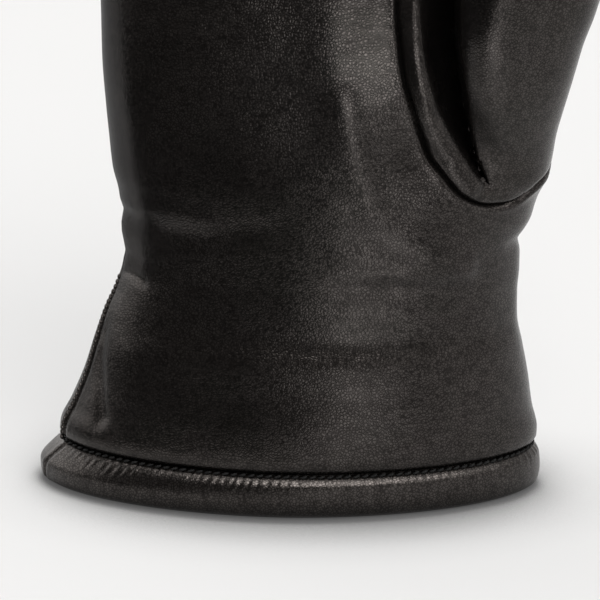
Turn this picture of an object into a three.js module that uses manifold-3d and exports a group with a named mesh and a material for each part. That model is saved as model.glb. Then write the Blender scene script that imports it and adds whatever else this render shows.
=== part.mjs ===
// A dress glove of smooth black leather for the right hand, standing on its cuff with the fingers up.
// The palm faces -Y, the thumb side is +X and the fingers point to +Z. All lengths are millimetres.
// One hollow shell is worked out from the tables below: a body that goes from the cuff over the wrist
// to the knuckles, four fingers and a thumb. Narrow slits then part it into the pieces that are sewn
// together on the real glove: the trank, which is palm and back in one, the set-in thumb, the strips
// between the fingers (fourchettes) and the padded hem that the glove stands on.
import * as THREE from "three";
import { mergeVertices } from "three/addons/utils/BufferGeometryUtils.js";
import Module from "manifold-3d";

const wasm = await Module();
wasm.setup();

// Driving sizes
const wall = 1.8; // leather and its backing
const seamGap = 0.35; // slit between two sewn pieces
const cuffWidth = 115;
const cuffDepth = 55;
const wristWidth = 90.5;
const wristDepth = 43;
const palmWidth = 94;
const palmDepth = 43;
const hemHeight = 10.2;
const hemThickness = 4.6;
const wristHeight = 57; // floor to the narrowest place
const knuckleHeight = 172; // floor to the gap between index and middle finger
const knuckleDrop = 8; // how much lower the little finger starts
const knuckleBend = 1.6; // 1 slants the knuckles evenly, more keeps the slant to the little finger's side
const fingerGap = 2;
const fingerDepth = 18.6;
const middleLength = 82; // from the knuckles to the tip
const fingerCurl = 5; // how far the fingertips lean towards the palm
const thumbSeamHeight = 74; // floor to the lowest point of the thumb's seam
const thumbLength = 95; // from that point to the tip
const thumbWidth = 33;
const thumbDepth = 28;
const rollRadius = 2.8; // soft roll of leather along the inner side of the thumb's seam
const sideSeamWidth = 0.9;
const sideSeamDepth = 0.7;
const sideSeamTaper = 0.3; // width of the groove's bottom, share of its width at the face

// Facets around each hollow form
const bodySides = 44;
const fingerSides = 20;
const thumbSides = 22;
const rollSides = 8;
const rollSteps = 12;

// The padded hem. height is a share of hemHeight, left and right are shares of cuffWidth from the
// middle of the cuff, front and back are shares of cuffDepth, power is the squareness of the outline.
const hemOuterRows = [
  { height: 0.0, left: -0.49, right: 0.486, front: 0.474, back: 0.474, power: 1.85 },
  { height: 0.16, left: -0.5, right: 0.498, front: 0.494, back: 0.494, power: 1.85 },
  { height: 0.48, left: -0.501, right: 0.501, front: 0.512, back: 0.512, power: 1.85 },
  { height: 0.8, left: -0.48, right: 0.498, front: 0.506, back: 0.506, power: 1.85 },
  { height: 1.0, left: -0.462, right: 0.491, front: 0.488, back: 0.488, power: 1.85 },
];
// Shares of hemThickness by which the inner face lies inside the outer one.
const hemInnerRows = [
  { height: -1.0, inset: 0.6 },
  { height: 0.0, inset: 0.6 },
  { height: 0.3, inset: 0.95 },
  { height: 0.7, inset: 1.0 },
  { height: 2.0, inset: 0.9 },
];

// The body from the hem to the knuckles. level runs from 0 at the hem's top over 1 at the wrist to 2
// at the knuckles. of names the width and the depth that the row follows; the rest are as above.
const widths = { cuff: cuffWidth, wrist: wristWidth, palm: palmWidth };
const depths = { cuff: cuffDepth, wrist: wristDepth, palm: palmDepth };
const bodyRows = [
  { level: 0.0, of: "cuff", left: -0.463, right: 0.491, front: 0.483, back: 0.483, power: 1.85 },
  { level: 0.07, of: "cuff", left: -0.461, right: 0.493, front: 0.492, back: 0.492, power: 1.85 },
  { level: 0.2, of: "cuff", left: -0.4375, right: 0.481, front: 0.486, back: 0.486, power: 1.87 },
  { level: 0.36, of: "cuff", left: -0.4115, right: 0.471, front: 0.47, back: 0.468, power: 1.9 },
  { level: 0.52, of: "cuff", left: -0.392, right: 0.458, front: 0.455, back: 0.45, power: 1.92 },
  { level: 0.67, of: "wrist", left: -0.472, right: 0.5655, front: 0.522, back: 0.516, power: 1.95 },
  { level: 0.8, of: "wrist", left: -0.441, right: 0.5635, front: 0.508, back: 0.5, power: 1.98 },
  { level: 0.91, of: "wrist", left: -0.419, right: 0.5675, front: 0.503, back: 0.488, power: 2.0 },
  { level: 1.0, of: "wrist", left: -0.416, right: 0.5675, front: 0.506, back: 0.484, power: 2.0 },
  { level: 1.035, of: "wrist", left: -0.4265, right: 0.5645, front: 0.51, back: 0.484, power: 2.0 },
  { level: 1.065, of: "wrist", left: -0.4145, right: 0.587, front: 0.516, back: 0.484, power: 2.0 },
  { level: 1.105, of: "wrist", left: -0.4325, right: 0.6045, front: 0.526, back: 0.486, power: 2.0 },
  { level: 1.16, of: "wrist", left: -0.452, right: 0.6235, front: 0.538, back: 0.486, power: 2.02 },
  { level: 1.215, of: "palm", left: -0.4425, right: 0.6085, front: 0.548, back: 0.48, power: 2.05 },
  { level: 1.29, of: "palm", left: -0.4515, right: 0.596, front: 0.552, back: 0.466, power: 2.1 },
  { level: 1.38, of: "palm", left: -0.46, right: 0.575, front: 0.545, back: 0.45, power: 2.15 },
  { level: 1.48, of: "palm", left: -0.463, right: 0.556, front: 0.522, back: 0.43, power: 2.2 },
  { level: 1.6, of: "palm", left: -0.466, right: 0.545, front: 0.49, back: 0.41, power: 2.25 },
  { level: 1.72, of: "palm", left: -0.468, right: 0.534, front: 0.45, back: 0.385, power: 2.35 },
  { level: 1.84, of: "palm", left: -0.467, right: 0.533, front: 0.395, back: 0.35, power: 2.5 },
  { level: 1.93, of: "palm", left: -0.464, right: 0.531, front: 0.335, back: 0.305, power: 2.6 },
  { level: 2.0, of: "palm", left: -0.458, right: 0.526, front: 0.235, back: 0.225, power: 2.6 },
];

// Between these levels the rows tilt from level to the slant of the knuckles.
const slantStart = 1.35;
const slantEnd = 1.95;

// Soft dents (negative) and swells of the body. turn is the angle seen from above, in degrees from the
// thumb side over the palm (90) to the little finger side (180); level is as in the body's rows.
// across is in degrees, along in levels, depth is a share of palmDepth.
const bodyFolds = [
  { name: "ball of the thumb", turn: 62, level: 1.36, across: 17, along: 0.2, depth: 0.055 },
  { name: "hollow of the palm", turn: 104, level: 1.42, across: 20, along: 0.26, depth: -0.035 },
  { name: "outer pad", turn: 142, level: 1.3, across: 16, along: 0.24, depth: 0.03 },
  { name: "swell below the thumb's seam", turn: 52, level: 0.98, across: 16, along: 0.1, depth: 0.03 },
  { name: "soft fold of the cuff", turn: 157, level: 0.5, across: 7, along: 0.3, depth: -0.035 },
  { name: "slack of the cuff", turn: 105, level: 0.45, across: 26, along: 0.3, depth: -0.02 },
  { name: "gather at the wrist's back", turn: 270, level: 1.0, across: 40, along: 0.12, depth: -0.03 },
  { name: "heel of the back", turn: 262, level: 1.35, across: 34, along: 0.25, depth: 0.03 },
];

// Fingers from the thumb side. width is a share of what the knuckles leave beside the gaps, length is a
// share of middleLength, splay is the lean in degrees, positive to the thumb side.
const fingerRows = [
  { name: "index", width: 0.258, length: 0.9, splay: 3.4 },
  { name: "middle", width: 0.26, length: 1.0, splay: 0.8 },
  { name: "ring", width: 0.252, length: 0.93, splay: -1.9 },
  { name: "little", width: 0.23, length: 0.73, splay: -4.2 },
];
// One finger's outline along its length: size is a share of its width and depth.
const fingerOutline = [
  { along: -0.28, size: 0.93 },
  { along: 0.0, size: 1.0 },
  { along: 0.22, size: 1.0 },
  { along: 0.45, size: 0.985 },
  { along: 0.68, size: 0.95 },
  { along: 0.84, size: 0.87 },
  { along: 0.92, size: 0.74 },
  { along: 0.97, size: 0.54 },
  { along: 1.0, size: 0.2 },
];
const fingerPower = 2.5;
const tipRows = 4; // the last rows of a finger or thumb, where the wall closes over the tip
const narrowest = 0.8; // the most that the wall may take of a row's half width, at the very tip
// A fourchette's half height along the finger, as a share of half the finger's depth.
const fourchetteTip = 0.8; // from here on the slit also grows along the finger
const tipLift = 3; // by this many gaps, because the leaf ends in a sharp point
const fourchetteInner = 0.12; // where its seam lies, as a share of the finger's width from its middle
const fourchetteOutline = [
  { along: -0.22, half: 0.44 },
  { along: 0.0, half: 0.5 },
  { along: 0.5, half: 0.46 },
  { along: 0.75, half: 0.32 },
  { along: 0.9, half: 0.06 },
];

// The thumb. along is a share of thumbLength above thumbSeamHeight, x a share of palmWidth, y a share
// of palmDepth towards the palm side, width and depth shares of thumbWidth and thumbDepth.
const thumbRows = [
  { along: -0.05, x: 0.5, y: 0.07, width: 0.24, depth: 0.36 },
  { along: 0.02, x: 0.52, y: 0.14, width: 0.43, depth: 0.57 },
  { along: 0.08, x: 0.517, y: 0.18, width: 0.53, depth: 0.65 },
  { along: 0.17, x: 0.51, y: 0.256, width: 0.664, depth: 0.76 },
  { along: 0.26, x: 0.51, y: 0.322, width: 0.753, depth: 0.86 },
  { along: 0.37, x: 0.517, y: 0.38, width: 0.825, depth: 0.945 },
  { along: 0.46, x: 0.531, y: 0.418, width: 0.91, depth: 0.985 },
  { along: 0.56, x: 0.55, y: 0.453, width: 0.955, depth: 1.0 },
  { along: 0.68, x: 0.575, y: 0.512, width: 0.965, depth: 0.975 },
  { along: 0.79, x: 0.597, y: 0.581, width: 0.9, depth: 0.9 },
  { along: 0.88, x: 0.614, y: 0.64, width: 0.78, depth: 0.78 },
  { along: 0.95, x: 0.626, y: 0.675, width: 0.6, depth: 0.6 },
  { along: 0.985, x: 0.631, y: 0.69, width: 0.4, depth: 0.4 },
  { along: 1.0, x: 0.633, y: 0.695, width: 0.18, depth: 0.18 },
];
const thumbPower = 2.05;

// The thumb's seam seen from the palm side: x is a share of palmWidth, along a share of thumbLength.
const thumbSeamRows = [
  { x: 0.36, along: 0.7 },
  { x: 0.285, along: 0.64 },
  { x: 0.245, along: 0.56 },
  { x: 0.235, along: 0.47 },
  { x: 0.241, along: 0.394 },
  { x: 0.253, along: 0.305 },
  { x: 0.277, along: 0.216 },
  { x: 0.312, along: 0.113 },
  { x: 0.343, along: 0.069 },
  { x: 0.392, along: 0.01 },
  { x: 0.436, along: -0.018 },
  { x: 0.481, along: -0.029 },
  { x: 0.526, along: -0.029 },
  { x: 0.573, along: 0.004 },
  { x: 0.609, along: 0.034 },
  { x: 0.9, along: 0.22 },
  { x: 0.9, along: 0.7 },
];
const thumbSeamBack = 0.035; // how far behind the middle the seam runs up the side, share of palmDepth

// Crest of the soft roll inside the seam, and its thickness as a share of rollRadius.
const rollSink = 0.2; // how far its middle lies under the palm's face, share of rollRadius
const rollRows = [
  { x: 0.29, along: 0.585, size: 0.45 },
  { x: 0.264, along: 0.5, size: 0.9 },
  { x: 0.265, along: 0.395, size: 1.0 },
  { x: 0.277, along: 0.331, size: 1.0 },
  { x: 0.3, along: 0.233, size: 1.0 },
  { x: 0.348, along: 0.118, size: 0.95 },
  { x: 0.377, along: 0.073, size: 0.85 },
  { x: 0.425, along: 0.02, size: 0.5 },
];

// The side seam on the little finger side: its turn seen from above, in degrees, at each level.
const sideSeamRows = [
  { level: 0.0, turn: 166 },
  { level: 0.5, turn: 168 },
  { level: 1.0, turn: 176 },
  { level: 1.5, turn: 181 },
  { level: 1.9, turn: 181 },
];

// Helpers on numbers and tables
const tangentStep = 4; // degrees to each side for the direction of an outline
const radians = THREE.MathUtils.degToRad;
const mix = THREE.MathUtils.lerp;
const bodyBase = hemHeight + seamGap;

function heightOf(level) {
  if (level <= 1) return mix(bodyBase, wristHeight, level);
  return mix(wristHeight, knuckleHeight, level - 1);
}

function thumbHeight(along) {
  return thumbSeamHeight + along * thumbLength;
}

// A row of a table between two of its rows, found by the column key.
function rowAt(rows, key, value) {
  const last = rows.length - 1;
  let i = 0;
  while (i < last - 1 && rows[i + 1][key] < value) i += 1;
  const a = rows[i];
  const b = rows[i + 1];
  const share = THREE.MathUtils.clamp((value - a[key]) / (b[key] - a[key]), 0, 1);
  const row = {};
  for (const column of Object.keys(a)) {
    row[column] = typeof a[column] === "number" ? mix(a[column], b[column], share) : a[column];
  }
  return row;
}

// Helpers on solids

// A closed mesh through rings of points, each ring counter-clockwise seen from its end at the top.
function loft(rings) {
  const count = rings[0].length;
  const points = rings.flat();
  const triangles = [];
  for (let r = 0; r < rings.length - 1; r += 1) {
    for (let i = 0; i < count; i += 1) {
      const next = (i + 1) % count;
      const a = r * count + i;
      const b = r * count + next;
      const c = a + count;
      const d = b + count;
      triangles.push(a, b, d, a, d, c);
    }
  }
  const top = (rings.length - 1) * count;
  const centre = (ring) => ring.reduce((sum, p) => sum.add(p), new THREE.Vector3()).divideScalar(count);
  points.push(centre(rings[0]), centre(rings[rings.length - 1]));
  const bottomCentre = points.length - 2;
  for (let i = 0; i < count; i += 1) {
    const next = (i + 1) % count;
    triangles.push(bottomCentre, next, i);
    triangles.push(bottomCentre + 1, top + i, top + next);
  }
  return solidOf(new THREE.BufferGeometry().setFromPoints(points).setIndex(triangles));
}

function solidOf(geometry) {
  geometry.deleteAttribute("normal");
  geometry.deleteAttribute("uv");
  const merged = mergeVertices(geometry, 1e-4);
  const vertProperties = merged.getAttribute("position").array;
  const triVerts = new Uint32Array(merged.index.array);
  return new wasm.Manifold(new wasm.Mesh({ numProp: 3, vertProperties, triVerts }));
}

function geometryOf(solid) {
  const { vertProperties, triVerts, numProp } = solid.getMesh();
  const data = new THREE.InterleavedBuffer(vertProperties, numProp);
  const positions = new Float32Array((vertProperties.length / numProp) * 3);
  for (let i = 0; i < data.count; i += 1) {
    for (let k = 0; k < 3; k += 1) positions[i * 3 + k] = vertProperties[i * numProp + k];
  }
  const geometry = new THREE.BufferGeometry();
  geometry.setAttribute("position", new THREE.BufferAttribute(positions, 3));
  geometry.setIndex(new THREE.BufferAttribute(triVerts, 1));
  return geometry;
}

// A superellipse with its own reach to each side; turn 0 is +X and turn 90 is the palm side, -Y.
function outlinePoint(turn, { left, right, front, back, power }) {
  const middle = (left + right) / 2;
  const halfWidth = (right - left) / 2;
  const c = Math.cos(turn);
  const s = Math.sin(turn);
  const x = middle + halfWidth * Math.sign(c) * Math.abs(c) ** (2 / power);
  const reach = s > 0 ? front : back;
  const y = -reach * Math.sign(s) * Math.abs(s) ** (2 / power);
  return new THREE.Vector2(x, y);
}

// The outward direction of a closed ring of points at point i.
function outward(ring, i) {
  const before = ring[(i + ring.length - 1) % ring.length];
  const after = ring[(i + 1) % ring.length];
  const along = new THREE.Vector2(after.x - before.x, after.y - before.y).normalize();
  return new THREE.Vector2(along.y, -along.x);
}

// A ring at one height, counter-clockwise from above, with push(turn) moving it out along its normal.
function ringAt(height, outline, sides, push) {
  const turns = Array.from({ length: sides }, (_, i) => (-2 * Math.PI * (i + 0.5)) / sides);
  const flat = turns.map((turn) => outlinePoint(turn, outline));
  return flat.map((p, i) => {
    const out = outward(flat, i).multiplyScalar(push(turns[i]));
    return new THREE.Vector3(p.x + out.x, p.y + out.y, height);
  });
}

// The body
function bodyOutline(level) {
  const index = bodyRows.findIndex((row) => row.level >= level);
  const upper = bodyRows[Math.max(index, 1)];
  const lower = bodyRows[Math.max(index, 1) - 1];
  const share = THREE.MathUtils.clamp((level - lower.level) / (upper.level - lower.level), 0, 1);
  const sized = (row) => ({
    left: row.left * widths[row.of],
    right: row.right * widths[row.of],
    front: row.front * depths[row.of],
    back: row.back * depths[row.of],
    power: row.power,
  });
  const a = sized(lower);
  const b = sized(upper);
  return Object.fromEntries(Object.keys(a).map((key) => [key, mix(a[key], b[key], share)]));
}

function foldPush(turn, level) {
  const degrees = THREE.MathUtils.euclideanModulo(THREE.MathUtils.radToDeg(turn), 360);
  return bodyFolds.reduce((sum, fold) => {
    const across = (degrees - fold.turn) / fold.across;
    const along = (level - fold.level) / fold.along;
    return sum + fold.depth * palmDepth * Math.exp(-across * across - along * along);
  }, 0);
}

// How far a point at x lies below the slanted line of the knuckles.
const knuckles = bodyOutline(2);
function knuckleSlope(x) {
  const share = (knuckles.right - x) / (knuckles.right - knuckles.left);
  return knuckleDrop * THREE.MathUtils.clamp(share, 0, 1) ** knuckleBend;
}

function bodyRing(level, inset) {
  const height = heightOf(level);
  const ring = ringAt(height, bodyOutline(level), bodySides, (turn) => foldPush(turn, level) - inset);
  const slant = THREE.MathUtils.smoothstep(level, slantStart, slantEnd);
  for (const p of ring) p.z -= slant * knuckleSlope(p.x);
  return ring;
}

function bodyOuter() {
  return loft(bodyRows.map((row) => bodyRing(row.level, 0)));
}

function bodyInner() {
  const rings = bodyRows.map((row) => bodyRing(row.level, wall));
  const top = rings[rings.length - 1];
  for (const p of top) p.z -= wall;
  const skirt = rings[0].map((p) => new THREE.Vector3(p.x, p.y, p.z - hemHeight));
  return loft([skirt, ...rings]);
}

// The palm side's y at a place given by x and height, with its folds.
function palmFace(x, height) {
  const level = height < wristHeight
    ? (height - bodyBase) / (wristHeight - bodyBase)
    : 1 + (height - wristHeight) / (knuckleHeight - wristHeight);
  const { left, right, front, power } = bodyOutline(level);
  const share = THREE.MathUtils.clamp((2 * x - left - right) / (right - left), -1, 1);
  const turn = Math.acos(Math.sign(share) * Math.abs(share) ** (power / 2));
  return -front * (1 - Math.abs(share) ** power) ** (1 / power) - foldPush(turn, level);
}

// Fingers
const knuckleRoom = knuckles.right - knuckles.left - (fingerRows.length - 1) * fingerGap;
const widthShares = fingerRows.reduce((sum, row) => sum + row.width, 0);
let edge = knuckles.right;
const fingers = fingerRows.map((row) => {
  const width = (knuckleRoom * row.width) / widthShares;
  const x = edge - width / 2;
  edge -= width + fingerGap;
  return {
    name: row.name,
    width,
    x,
    base: knuckleHeight - knuckleSlope(x),
    length: row.length * middleLength,
    splay: Math.tan(radians(row.splay)),
  };
});

// The middle of a finger at a share of its length.
function fingerMiddle(finger, along) {
  const x = finger.x + Math.max(along, 0) * finger.length * finger.splay;
  const y = -fingerCurl * Math.max(along, 0) ** 2;
  return new THREE.Vector3(x, y, finger.base + along * finger.length);
}

function fingerSolid(finger, inset) {
  const rings = fingerOutline.map(({ along, size }, i) => {
    const middle = fingerMiddle(finger, along);
    const half = (size * finger.width) / 2;
    const deep = (size * fingerDepth) / 2;
    const outline = {
      left: middle.x - half,
      right: middle.x + half,
      front: deep,
      back: deep,
      power: fingerPower,
    };
    const pinch = Math.min(inset, half * narrowest);
    const tipInset = i >= fingerOutline.length - tipRows ? inset : 0;
    const ring = ringAt(middle.z - tipInset, outline, fingerSides, () => -pinch);
    for (const p of ring) p.y += middle.y;
    return ring;
  });
  return loft(rings);
}

// The leaf-shaped cutter that takes one side wall of a finger for a fourchette. side is +1 towards
// the thumb, -1 towards the little finger; grow widens it by the seam's gap.
function fourchetteCutter(finger, side, grow) {
  const reach = finger.width / 2 + fingerGap / 2;
  const rings = fourchetteOutline.map(({ along, half }) => {
    const middle = fingerMiddle(finger, along);
    const high = (half * fingerDepth) / 2 + grow;
    const near = middle.x + side * finger.width * fourchetteInner;
    const far = middle.x + side * reach;
    const left = Math.min(near, far) - (side < 0 ? seamGap / 2 : 0);
    const right = Math.max(near, far) + (side > 0 ? seamGap / 2 : 0);
    const lift = along > fourchetteTip ? grow * tipLift : 0;
    return [
      new THREE.Vector3(left, middle.y - high, middle.z + lift),
      new THREE.Vector3(right, middle.y - high, middle.z + lift),
      new THREE.Vector3(right, middle.y + high, middle.z + lift),
      new THREE.Vector3(left, middle.y + high, middle.z + lift),
    ];
  });
  return loft(rings);
}

// The thumb
function thumbSolid(inset) {
  const rings = thumbRows.map((row, i) => {
    const half = (row.width * thumbWidth) / 2;
    const deep = (row.depth * thumbDepth) / 2;
    const x = row.x * palmWidth;
    const outline = { left: x - half, right: x + half, front: deep, back: deep, power: thumbPower };
    const pinch = Math.min(inset, half * narrowest);
    const tipInset = i >= thumbRows.length - tipRows ? inset : 0;
    const ring = ringAt(thumbHeight(row.along) - tipInset, outline, thumbSides, () => -pinch);
    for (const p of ring) p.y -= row.y * palmDepth;
    return ring;
  });
  return loft(rings);
}

// The region of the palm that the set-in thumb takes, as a prism from in front of the glove to the
// side seam line; grow widens it by the seam's gap.
function thumbCutter(grow) {
  const seam = thumbSeamRows.map((row) => new THREE.Vector2(row.x * palmWidth, thumbHeight(row.along)));
  const region = seam.map((p, i) => outward(seam, i).multiplyScalar(grow).add(p));
  const shape = new THREE.Shape(region);
  const near = palmDepth + thumbDepth; // well in front of the thumb
  const far = thumbSeamBack * palmDepth + grow;
  const prism = new THREE.ExtrudeGeometry(shape, { depth: near + far, bevelEnabled: false });
  prism.rotateX(Math.PI / 2);
  prism.translate(0, far, 0);
  return solidOf(prism);
}

// The soft roll inside the seam, a round bar that tapers to its ends and lies half in the palm's wall.
function rollSolid() {
  const crest = rollRows.map((row) => {
    const x = row.x * palmWidth;
    const height = thumbHeight(row.along);
    return new THREE.Vector3(x, palmFace(x, height) + rollRadius * (rollSink + 1 - row.size), height);
  });
  const path = new THREE.CatmullRomCurve3(crest);
  const rings = Array.from({ length: rollSteps + 1 }, (_, i) => {
    const share = i / rollSteps;
    const at = path.getPoint(share);
    const along = path.getTangent(share);
    const sideways = new THREE.Vector3(0, 1, 0).cross(along).normalize();
    const deep = along.clone().cross(sideways);
    const { size } = rowAt(rollRows.map((row, k) => ({ k: k / (rollRows.length - 1), ...row })), "k", share);
    return Array.from({ length: rollSides }, (_, k) => {
      const turn = (2 * Math.PI * k) / rollSides;
      return at
        .clone()
        .addScaledVector(sideways, Math.cos(turn) * size * rollRadius)
        .addScaledVector(deep, Math.sin(turn) * size * rollRadius);
    });
  });
  return loft(rings);
}

// The hem
function hemOutline(row) {
  return {
    left: row.left * cuffWidth,
    right: row.right * cuffWidth,
    front: row.front * cuffDepth,
    back: row.back * cuffDepth,
    power: row.power,
  };
}

function hemSolid() {
  const outer = loft(
    hemOuterRows.map((row) => ringAt(row.height * hemHeight, hemOutline(row), bodySides, () => 0)),
  );
  const inner = loft(
    hemInnerRows.map(({ height, inset }) => {
      const outline = hemOutline(rowAt(hemOuterRows, "height", height));
      return ringAt(height * hemHeight, outline, bodySides, () => -inset * hemThickness);
    }),
  );
  return outer.subtract(inner);
}

// The groove of the side seam, a narrow ribbon that bites into the outer face.
function sideSeamCutter() {
  const rings = sideSeamRows.map(({ level, turn }) => {
    const height = heightOf(level) - (level === 0 ? seamGap : 0);
    const outline = bodyOutline(level);
    const at = outlinePoint(radians(turn), outline);
    const before = outlinePoint(radians(turn - tangentStep), outline);
    const after = outlinePoint(radians(turn + tangentStep), outline);
    const tangent = new THREE.Vector2().subVectors(after, before).normalize();
    const out = new THREE.Vector2(-Math.abs(tangent.y), -tangent.x * Math.sign(tangent.y || 1)).normalize();
    if (out.x > 0) out.negate();
    const corner = (sideways, outwards) =>
      new THREE.Vector3(
        at.x + tangent.x * sideways + out.x * outwards,
        at.y + tangent.y * sideways + out.y * outwards,
        height,
      );
    const half = sideSeamWidth / 2;
    const ring = [
      corner(-half, wall),
      corner(half, wall),
      corner(half * sideSeamTaper, -sideSeamDepth),
      corner(-half * sideSeamTaper, -sideSeamDepth),
    ];
    return THREE.ShapeUtils.area(ring) > 0 ? ring : ring.reverse();
  });
  return loft(rings);
}

// The shell and its pieces
const body = bodyOuter();
const thumbOuter = thumbSolid(0);
const fingerOuter = fingers.map((finger) => fingerSolid(finger, 0));
const fingerInner = fingers.map((finger) => fingerSolid(finger, wall));
const hollow = wasm.Manifold.union([bodyInner(), thumbSolid(wall), ...fingerInner]);
const hand = wasm.Manifold.union([body, ...fingerOuter]);
const palmShell = hand.subtract(hollow);

const webs = fingers.slice(1).map((finger, i) => {
  const neighbour = fingers[i];
  const cutter = (grow) => fourchetteCutter(neighbour, -1, grow).add(fourchetteCutter(finger, 1, grow));
  return {
    name: `fourchette_${neighbour.name}_${finger.name}`,
    solid: palmShell.intersect(cutter(0)),
    room: cutter(seamGap),
  };
});

const thumbShell = wasm.Manifold.union([hand, thumbOuter, rollSolid()]).subtract(hollow);
const freeThumb = thumbOuter.subtract(hand);
const thumb = thumbShell.intersect(thumbCutter(0).add(freeThumb));
const trank = palmShell
  .subtract(wasm.Manifold.union(webs.map((web) => web.room)))
  .subtract(thumbCutter(seamGap))
  .subtract(sideSeamCutter());

// Materials and the group
const leather = { color: 0x1b1a19, roughness: 0.42, metalness: 0 };
const shellLeather = new THREE.MeshStandardMaterial({ name: "leather", ...leather });
const thumbLeather = new THREE.MeshStandardMaterial({ name: "thumb_leather", ...leather });
const sideLeather = new THREE.MeshStandardMaterial({ name: "side_leather", ...leather, roughness: 0.5 });
const hemLeather = new THREE.MeshStandardMaterial({ name: "hem_leather", ...leather, roughness: 0.38 });

const glove = new THREE.Group();
function addPiece(name, solid, material) {
  const mesh = new THREE.Mesh(geometryOf(solid), material);
  mesh.name = name;
  glove.add(mesh);
}
addPiece("trank", trank, shellLeather);
addPiece("thumb", thumb, thumbLeather);
addPiece("hem", hemSolid(), hemLeather);
for (const web of webs) addPiece(web.name, web.solid, sideLeather);

// The origin is the middle of the glove's footprint on the floor.
const bounds = new THREE.Box3().setFromObject(glove);
const centre = bounds.getCenter(new THREE.Vector3());
glove.position.set(-centre.x, -centre.y, 0);

export default glove;
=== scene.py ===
import math

import bpy
import numpy as np
from mathutils import Matrix, Vector


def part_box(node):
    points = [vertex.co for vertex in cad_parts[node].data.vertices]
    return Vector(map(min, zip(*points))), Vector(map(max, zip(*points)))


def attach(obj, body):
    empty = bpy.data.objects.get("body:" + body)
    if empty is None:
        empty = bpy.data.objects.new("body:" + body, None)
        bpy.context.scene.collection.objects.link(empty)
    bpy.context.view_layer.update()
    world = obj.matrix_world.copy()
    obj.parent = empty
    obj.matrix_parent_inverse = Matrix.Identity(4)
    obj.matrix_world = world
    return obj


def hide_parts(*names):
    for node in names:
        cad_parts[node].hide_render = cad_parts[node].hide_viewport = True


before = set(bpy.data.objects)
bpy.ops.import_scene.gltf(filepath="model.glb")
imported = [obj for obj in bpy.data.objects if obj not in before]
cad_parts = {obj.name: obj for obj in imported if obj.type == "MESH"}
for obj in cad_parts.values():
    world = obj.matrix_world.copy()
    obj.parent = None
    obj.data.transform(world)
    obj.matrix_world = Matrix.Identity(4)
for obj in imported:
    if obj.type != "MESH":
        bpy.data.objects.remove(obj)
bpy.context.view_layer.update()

# The glove's own frame is in millimetres: palm to -Y, thumb side +X, fingers to +Z, hem on z = 0.
# It is worked out as one smooth closed form, given by a distance field, and the sewn pieces are cut
# from it along their seams.
MM = 0.001

# Driving sizes
WALL = 1.8
CUFF_WIDTH = 115.0
CUFF_DEPTH = 55.0
WRIST_WIDTH = 90.5
WRIST_DEPTH = 43.0
PALM_WIDTH = 94.0
PALM_DEPTH = 43.0
HEM_HEIGHT = 10.2
SEAM_GAP = 0.35
WRIST_HEIGHT = 57.0
KNUCKLE_HEIGHT = 172.0
KNUCKLE_DROP = 8.0
KNUCKLE_BEND = 1.6
FINGER_GAP = 2.0
FINGER_DEPTH = 18.6
MIDDLE_LENGTH = 82.0
FINGER_CURL = 5.0
THUMB_SEAM_HEIGHT = 74.0
THUMB_LENGTH = 95.0
THUMB_WIDTH = 33.0
THUMB_DEPTH = 28.0
BODY_BASE = HEM_HEIGHT + SEAM_GAP
SLANT = (1.35, 1.95)

# The hem: height as a share of the hem's, reach to each side as a share of the cuff's width or depth.
HEM_ROWS = (
    # height, left, right, front, back
    (0.0, -0.49, 0.486, 0.474, 0.474),
    (0.16, -0.5, 0.498, 0.494, 0.494),
    (0.48, -0.501, 0.501, 0.512, 0.512),
    (0.8, -0.48, 0.498, 0.506, 0.506),
    (1.0, -0.462, 0.491, 0.488, 0.488),
)
HEM_POWER = 1.85

# The body: level 0 at the hem's top, 1 at the wrist, 2 at the knuckles.
CUFF, WRIST, PALM = (CUFF_WIDTH, CUFF_DEPTH), (WRIST_WIDTH, WRIST_DEPTH), (PALM_WIDTH, PALM_DEPTH)
BODY_ROWS = (
    # level, of, left, right, front, back, power
    (0.0, CUFF, -0.463, 0.491, 0.483, 0.483, 1.85),
    (0.07, CUFF, -0.461, 0.493, 0.492, 0.492, 1.85),
    (0.2, CUFF, -0.4375, 0.481, 0.486, 0.486, 1.87),
    (0.36, CUFF, -0.4115, 0.471, 0.47, 0.468, 1.9),
    (0.52, CUFF, -0.392, 0.458, 0.455, 0.45, 1.92),
    (0.67, WRIST, -0.472, 0.5655, 0.522, 0.516, 1.95),
    (0.8, WRIST, -0.441, 0.5635, 0.508, 0.5, 1.98),
    (0.91, WRIST, -0.419, 0.5675, 0.503, 0.488, 2.0),
    (1.0, WRIST, -0.416, 0.5675, 0.506, 0.484, 2.0),
    (1.05, WRIST, -0.4225, 0.58, 0.512, 0.484, 2.0),
    (1.105, WRIST, -0.4325, 0.6045, 0.526, 0.486, 2.0),
    (1.16, WRIST, -0.452, 0.6235, 0.538, 0.486, 2.02),
    (1.215, PALM, -0.4425, 0.6085, 0.548, 0.48, 2.05),
    (1.29, PALM, -0.4515, 0.596, 0.552, 0.466, 2.1),
    (1.38, PALM, -0.46, 0.575, 0.545, 0.45, 2.15),
    (1.48, PALM, -0.463, 0.556, 0.534, 0.43, 2.2),
    (1.6, PALM, -0.466, 0.545, 0.505, 0.41, 2.25),
    (1.72, PALM, -0.468, 0.534, 0.458, 0.385, 2.35),
    (1.84, PALM, -0.467, 0.533, 0.395, 0.35, 2.5),
    (1.93, PALM, -0.464, 0.531, 0.335, 0.305, 2.6),
    (2.0, PALM, -0.458, 0.526, 0.235, 0.225, 2.6),
)

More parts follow.
